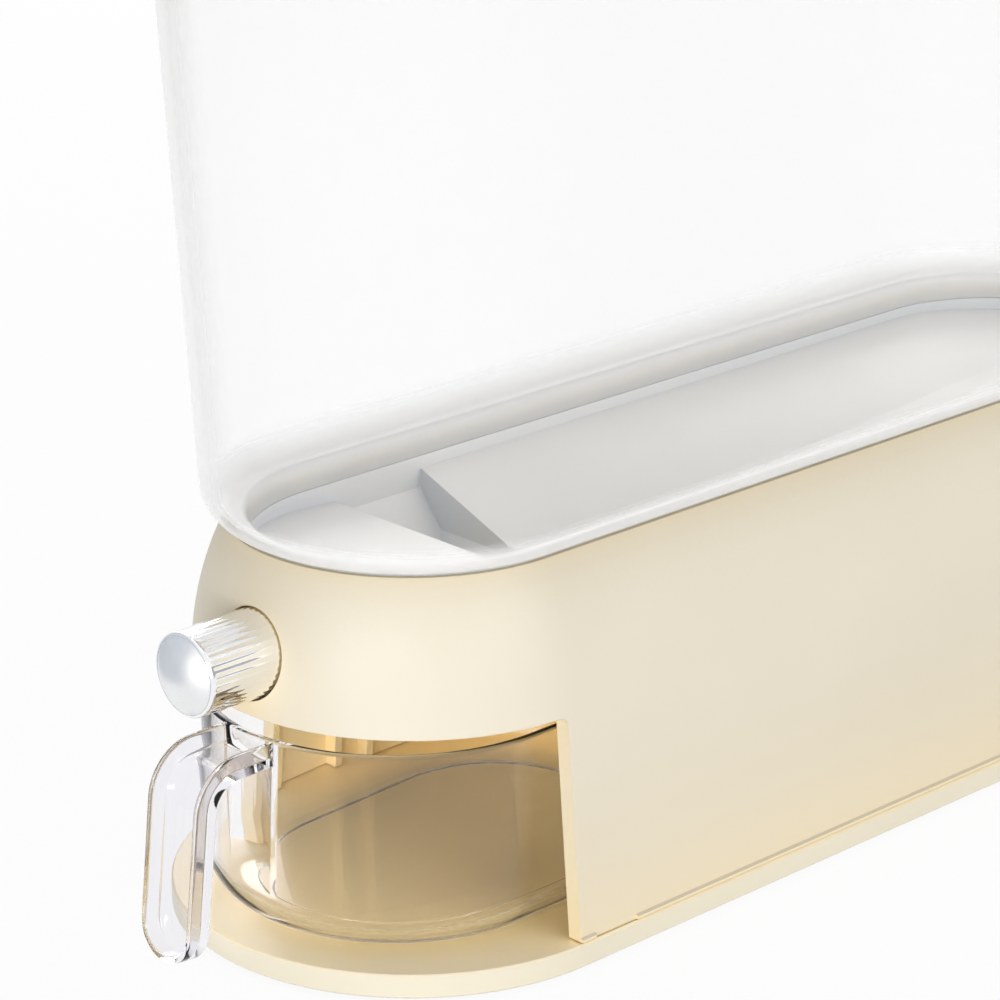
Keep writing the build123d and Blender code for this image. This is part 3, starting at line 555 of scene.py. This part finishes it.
class Shader:
    """A material under construction: its node tree, its surface shader and the usual textures."""

    def __init__(self, name):
        self.material = bpy.data.materials.new(name)
        self.material.use_nodes = True
        self.tree = self.material.node_tree
        self.surface = self.tree.nodes["Principled BSDF"]
        self.place = self.add("ShaderNodeTexCoord").outputs["Object"]

    def add(self, kind, **values):
        node = self.tree.nodes.new(kind)
        for key, value in values.items():
            setattr(node, key, value)
        return node

    def feed(self, source, target):
        """Give an input what another node puts out, or a constant."""
        if isinstance(source, bpy.types.NodeSocket):
            self.tree.links.new(source, target)
        else:
            target.default_value = source

    def closure(self, kind, **values):
        """A further shader with constants on its inputs."""
        node = self.add(kind)
        for key, value in values.items():
            node.inputs[key].default_value = value
        return node.outputs[0]

    def mix(self, factor, first, second):
        """Two shaders mixed by a number or by what a node gives."""
        node = self.add("ShaderNodeMixShader")
        self.feed(factor, node.inputs["Fac"])
        self.feed(first, node.inputs[1])
        self.feed(second, node.inputs[2])
        return node.outputs[0]

    def show(self, whole):
        """Put a shader in the place of the plain surface."""
        self.feed(whole, self.tree.nodes["Material Output"].inputs["Surface"])

    def compute(self, operation, first, second):
        """What an operation makes of two values."""
        node = self.add("ShaderNodeMath", operation=operation)
        self.feed(first, node.inputs[0])
        self.feed(second, node.inputs[1])
        return node.outputs[0]

    def along(self, vector, axis):
        """One coordinate of a vector."""
        node = self.add("ShaderNodeSeparateXYZ")
        self.feed(vector, node.inputs[0])
        return node.outputs[axis]

    def noise(self, scale, detail, stretch=None):
        """Noise that keeps its place on the object, stretched where asked."""
        texture = self.add("ShaderNodeTexNoise")
        texture.inputs["Scale"].default_value = scale
        texture.inputs["Detail"].default_value = detail
        source = self.place
        if stretch:
            mapping = self.add("ShaderNodeMapping")
            mapping.inputs["Scale"].default_value = stretch
            self.feed(source, mapping.inputs["Vector"])
            source = mapping.outputs["Vector"]
        self.feed(source, texture.inputs["Vector"])
        return texture.outputs["Fac"]

    def remap(self, source, start, end, low=0.0, high=1.0):
        """A value that goes from low to high while its source goes from start to end."""
        node = self.add("ShaderNodeMapRange")
        node.inputs["From Min"].default_value = start
        node.inputs["From Max"].default_value = end
        node.inputs["To Min"].default_value = low
        node.inputs["To Max"].default_value = high
        self.feed(source, node.inputs["Value"])
        return node.outputs["Result"]

    def ramp(self, source, start, end, first, second):
        """A colour that goes from the first to the second while a source goes from start to end."""
        node = self.add("ShaderNodeValToRGB")
        stops = node.color_ramp.elements
        stops[0].position = start
        stops[0].color = (*first, 1)
        stops[1].position = end
        stops[1].color = (*second, 1)
        self.feed(source, node.inputs["Fac"])
        return node.outputs["Color"]

    def colours(self, source, dark, light):
        """Base colour that follows a noise from dark to light."""
        colour = self.ramp(source, NOISE_LOW, NOISE_HIGH, dark, light)
        self.feed(colour, self.surface.inputs["Base Color"])

    def gloss(self, source, rough):
        """Roughness that follows a noise through a range."""
        value = self.remap(source, NOISE_LOW, NOISE_HIGH, *rough)
        self.feed(value, self.surface.inputs["Roughness"])

    def recolour(self, keep, colour):
        """Mix another colour into the base colour, which stays where the share to keep is 1."""
        base = self.surface.inputs["Base Color"]
        mix = self.add("ShaderNodeMix", data_type="RGBA")
        self.feed(keep, mix.inputs["Factor"])
        self.feed(colour, mix.inputs[MIX_FIRST])
        self.feed(base.links[0].from_socket, mix.inputs[MIX_SECOND])
        self.feed(mix.outputs[MIX_RESULT], base)

    def paint_hollow_light_and_shade(self, tones, reach, level_only=False):
        """Paint light and shade into the colour in hollows: the tones run from the deepest hollow
        to one that is half open. Where only level faces are meant, upright ones keep their colour."""
        shade = self.add("ShaderNodeAmbientOcclusion", samples=HOLLOW_SAMPLES)
        shade.inputs["Distance"].default_value = reach
        openness = shade.outputs["AO"]
        colour = self.ramp(openness, DEEP_HOLLOW, HALF_OPEN, *tones)
        keep = self.remap(openness, HALF_OPEN, FULLY_OPEN)
        if level_only:
            normal = self.add("ShaderNodeNewGeometry").outputs["Normal"]
            upright = self.compute("SUBTRACT", 1.0, self.along(normal, "Z"))
            keep = self.compute("MAXIMUM", upright, keep)
        self.recolour(keep, colour)

    def tint(self, colour, end_y, start_y):
        """Fade the colour to another one along Y."""
        self.recolour(self.remap(self.along(self.place, "Y"), end_y, start_y), colour)

    def glancing(self, low, high, start):
        """A value that rises from low to high as a surface turns from a start to edge on."""
        weight = self.add("ShaderNodeLayerWeight")
        weight.inputs["Blend"].default_value = FACING_BLEND
        return self.remap(weight.outputs["Facing"], start, EDGE_ON, low, high)

    def relief(self, height, distance, strength, edge=None):
        """Bump from a noise, over edges that are softened by a small radius where one is given."""
        bump = self.add("ShaderNodeBump")
        bump.inputs["Strength"].default_value = strength
        bump.inputs["Distance"].default_value = distance
        self.feed(height, bump.inputs["Height"])
        if edge:
            bevel = self.add("ShaderNodeBevel", samples=EDGE_SAMPLES)
            bevel.inputs["Radius"].default_value = edge
            self.feed(bevel.outputs["Normal"], bump.inputs["Normal"])
        self.feed(bump.outputs["Normal"], self.surface.inputs["Normal"])


def moulded(name, dark, light, rough):
    """Moulded plastic: faint cloudy colour, uneven gloss, a fine skin and soft edges."""
    shader = Shader(name)
    shader.colours(shader.noise(scale=14.0, detail=4.0), dark, light)
    shader.gloss(shader.noise(scale=60.0, detail=5.0), rough)
    skin = shader.noise(scale=2600.0, detail=2.0)
    shader.relief(skin, distance=0.02 * MM, strength=0.25, edge=MOULDED_EDGE)
    shader.surface.inputs["IOR"].default_value = MOULDED_IOR
    return shader


def tank_plastic(dark, light, rough):
    """Milky translucent plastic: a thin white veil that thickens at a glancing angle and in the
    foot, with a faint drawn texture."""
    shader = Shader("milky_plastic")
    shader.colours(shader.noise(scale=9.0, detail=3.0), dark, light)
    shader.gloss(shader.noise(scale=40.0, detail=4.0), rough)
    drawn = shader.noise(scale=70.0, detail=3.0, stretch=(1, 1, 0.08))
    shader.relief(drawn, distance=0.05 * MM, strength=0.12)
    shader.surface.inputs["IOR"].default_value = TANK_IOR

    turned = shader.glancing(TANK_VEIL, TANK_VEIL_EDGE, TANK_VEIL_START)
    height = shader.along(shader.place, "Z")
    foot_low = TANK_BOTTOM + TANK_WALL
    foot_high = TANK_BOTTOM + TANK_FILLET
    foot = shader.remap(height, foot_low, foot_high, TANK_VEIL_FOOT, 0.0)
    veil = shader.compute("MAXIMUM", turned, foot)

    lit_through = shader.closure("ShaderNodeBsdfTranslucent", Color=TANK_GLOW_COLOUR)
    milk = shader.mix(TANK_GLOW, shader.surface.outputs[0], lit_through)
    straight = shader.closure("ShaderNodeBsdfTransparent")
    glass = shader.closure("ShaderNodeBsdfRefraction", IOR=STRAIGHT_IOR, Roughness=0.0)
    seen = shader.mix(TANK_GLASS, straight, glass)
    lamps = shader.add("ShaderNodeLightPath").outputs["Is Shadow Ray"]
    clear = shader.mix(lamps, seen, straight)
    shader.show(shader.mix(veil, clear, milk))
    return shader.material


def clear_plastic(dark, light, rough):
    """Clear plastic: it bends what is behind it, turns violet grey where it is seen edge on, and
    lets lamps through."""
    shader = Shader("clear_plastic")
    shader.colours(shader.noise(scale=30.0, detail=2.0), dark, light)
    shader.tint(CLEAR_TINT, TINT_END_Y, TINT_START_Y)
    shader.gloss(shader.noise(scale=90.0, detail=3.0), rough)
    shader.relief(shader.noise(scale=55.0, detail=2.0), distance=0.03 * MM, strength=0.06)
    shader.surface.inputs["IOR"].default_value = CLEAR_IOR
    shader.surface.inputs["Transmission Weight"].default_value = 1.0

    straight = shader.closure("ShaderNodeBsdfTransparent", Color=CLEAR_SHADOW_COLOUR)
    edge = shader.closure("ShaderNodeBsdfDiffuse", Color=CLEAR_EDGE_COLOUR)
    turned = shader.glancing(0.0, CLEAR_EDGE, CLEAR_EDGE_START)
    seen = shader.mix(turned, shader.surface.outputs[0], edge)
    lamps = shader.add("ShaderNodeLightPath").outputs["Is Shadow Ray"]
    shader.show(shader.mix(lamps, seen, straight))
    return shader.material


def metal(name, dark, light, rough):
    """Metal: faintly uneven colour and gloss, and a fine grain."""
    shader = Shader(name)
    shader.colours(shader.noise(scale=120.0, detail=4.0), dark, light)
    shader.gloss(shader.noise(scale=200.0, detail=4.0), rough)
    shader.relief(shader.noise(scale=900.0, detail=2.0), distance=0.01 * MM, strength=0.15)
    shader.surface.inputs["Metallic"].default_value = 1.0
    return shader.material


def rubber(name, dark, light, rough):
    """Rubber: dull, with a rough skin and soft edges."""
    shader = Shader(name)
    shader.colours(shader.noise(scale=80.0, detail=4.0), dark, light)
    shader.gloss(shader.noise(scale=150.0, detail=4.0), rough)
    skin = shader.noise(scale=1800.0, detail=3.0)
    shader.relief(skin, distance=0.04 * MM, strength=0.4, edge=RUBBER_EDGE)
    return shader.material


def dress(names, material):
    """Give nodes of the part one material."""
    for name in names:
        mesh = nodes[name].data
        mesh.materials.clear()
        mesh.materials.append(material)


def seen_rays(tree):
    """1 for rays that come from the camera, straight or by way of gloss or glass."""
    path = tree.nodes.new("ShaderNodeLightPath")
    total = path.outputs["Is Camera Ray"]
    for name in ("Is Glossy Ray", "Is Transmission Ray"):
        node = tree.nodes.new("ShaderNodeMath")
        node.operation = "MAXIMUM"
        tree.links.new(total, node.inputs[0])
        tree.links.new(path.outputs[name], node.inputs[1])
        total = node.outputs[0]
    return total


def show_by_ray(tree, output_kind, lighting, seen, seen_share):
    """Let one shader light the set while seen rays get a share of another."""
    output = tree.nodes.new(output_kind)
    share = tree.nodes.new("ShaderNodeMath")
    share.operation = "MULTIPLY"
    share.inputs[1].default_value = seen_share
    mix = tree.nodes.new("ShaderNodeMixShader")
    tree.links.new(seen_rays(tree), share.inputs[0])
    tree.links.new(share.outputs[0], mix.inputs["Fac"])
    tree.links.new(lighting.outputs[0], mix.inputs[1])
    tree.links.new(seen.outputs[0], mix.inputs[2])
    tree.links.new(mix.outputs[0], output.inputs["Surface"])


def make_floor():
    """White floor that keeps a faint shadow."""
    bpy.ops.mesh.primitive_plane_add(size=FLOOR_SIZE)
    floor = bpy.context.object
    floor.name = "studio_floor"
    material = bpy.data.materials.new("studio_floor")
    material.use_nodes = True
    tree = material.node_tree
    tree.nodes.clear()
    paint = tree.nodes.new("ShaderNodeBsdfDiffuse")
    paint.inputs["Color"].default_value = FLOOR_PAINT
    glow = tree.nodes.new("ShaderNodeEmission")
    show_by_ray(tree, "ShaderNodeOutputMaterial", paint, glow, FLOOR_WHITE)
    floor.data.materials.append(material)


def make_surround():
    """White surround that is brighter to look at than it lights."""
    world = bpy.data.worlds.new("studio")
    bpy.context.scene.world = world
    world.use_nodes = True
    tree = world.node_tree
    tree.nodes.clear()
    backgrounds = []
    for strength in (SURROUND_LIGHT, SURROUND_SEEN):
        background = tree.nodes.new("ShaderNodeBackground")
        background.inputs["Color"].default_value = WHITE
        background.inputs["Strength"].default_value = strength
        backgrounds.append(background)
    show_by_ray(tree, "ShaderNodeOutputWorld", *backgrounds, seen_share=1.0)


def aim(item, place, direction, front="-Z"):
    """Place an item with its front towards a direction."""
    item.location = place
    item.rotation_euler = direction.to_track_quat(front, "Y").to_euler()


def make_lamp(name, place, size, power):
    """A soft lamp that points at the middle of the object."""
    lamp = bpy.data.lights.new(name, "AREA")
    lamp.shape = "RECTANGLE"
    lamp.size, lamp.size_y = size
    lamp.energy = power
    aim(add_object(name, lamp), place, LAMP_TARGET - Vector(place))


def make_card(name, place, size, tone):
    """A card beside the object that shows only in gloss."""
    bpy.ops.mesh.primitive_plane_add(size=1.0)
    card = bpy.context.object
    card.name = name
    card.scale = (*size, 1)
    aim(card, place, CARD_TARGET - Vector(place), front="Z")
    material = bpy.data.materials.new(name)
    material.use_nodes = True
    paint = material.node_tree.nodes["Principled BSDF"]
    paint.inputs["Base Color"].default_value = (*[tone * tint for tint in CARD_TINT], 1)
    paint.inputs["Roughness"].default_value = 1.0
    card.data.materials.append(material)
    card.visible_camera = False
    card.visible_diffuse = False
    card.visible_transmission = False
    card.visible_shadow = False


def make_camera():
    camera = bpy.data.cameras.new("camera")
    camera.lens = CAMERA_LENS
    camera.sensor_width = CAMERA_SENSOR
    holder = add_object("camera", camera)
    aim(holder, CAMERA_PLACE, CAMERA_AXIS)
    bpy.context.scene.camera = holder


def make_stage():
    """A white set with soft lamps, cards for the metal and the photograph's camera."""
    bpy.context.scene.view_settings.view_transform = "Standard"
    make_floor()
    make_surround()
    for lamp in LAMPS:
        make_lamp(*lamp)
    for card in CARDS:
        make_card(*card)
    make_camera()


make_stage()
tank = make_tank()
cup = make_cup()
barrel = make_barrel()
dome = make_dome()
spring = make_spring()

shell_plastic = moulded("cream_plastic", **CREAM)
# painted bounce light in the shell's hollows, mostly in the bay
shell_plastic.paint_hollow_light_and_shade(SHELL_BOUNCE_TONES, BOUNCE_REACH)
# painted shadow of the tank on the shell's crown
shell_plastic.paint_hollow_light_and_shade(CROWN_SHADOW_TONES, CROWN_SHADOW_REACH, level_only=True)
plate_plastic = moulded("plate_plastic", **PLATE)
# painted bounce light on the plate's level faces under the bay
plate_plastic.paint_hollow_light_and_shade(PLATE_BOUNCE_TONES, BOUNCE_REACH, level_only=True)
# painted bounce light: the inner parts get a warmer copy of the cream
inner_plastic = moulded("inner_plastic", **INNER_PAINTED_BOUNCE)
# painted bounce light in the hollows of the inner parts
inner_plastic.paint_hollow_light_and_shade(INNER_BOUNCE_TONES, BOUNCE_REACH)
hopper_plastic = moulded("hopper_plastic", **HOPPER)
# painted shade in the hopper's outlet
hopper_plastic.paint_hollow_light_and_shade(OUTLET_SHADE_TONES, OUTLET_SHADE_REACH)
inside = ["bay_liner", "gate_tray", "gate_plate", "button_guide", "rod_bracket"]
dress(["base_shell"], shell_plastic.material)
dress(["flip_lid", "rear_cover"], moulded("cover_plastic", **CREAM).material)
dress(["foot_plate"], plate_plastic.material)
dress(inside, inner_plastic.material)
dress(["hopper"], hopper_plastic.material)
dress(["tank_seal", "outlet_seal", "lid_seal"], rubber("seal_rubber", **SEAL))
dress(["rubber_feet"], rubber("foot_rubber", **FEET))
steel = metal("bright_steel", **STEEL)
dress(["push_rod", "rod_nut", "hinge_pin"], steel)
dress(["plate_screws", "hopper_screws", "tray_screws", "mechanism_screws"], steel)
spring.data.materials.append(steel)
tank.data.materials.append(tank_plastic(**MILKY))
cup.data.materials.append(clear_plastic(**CLEAR))
barrel.data.materials.append(metal("chrome", **CHROME))
dome.data.materials.append(metal("satin_metal", **SATIN))
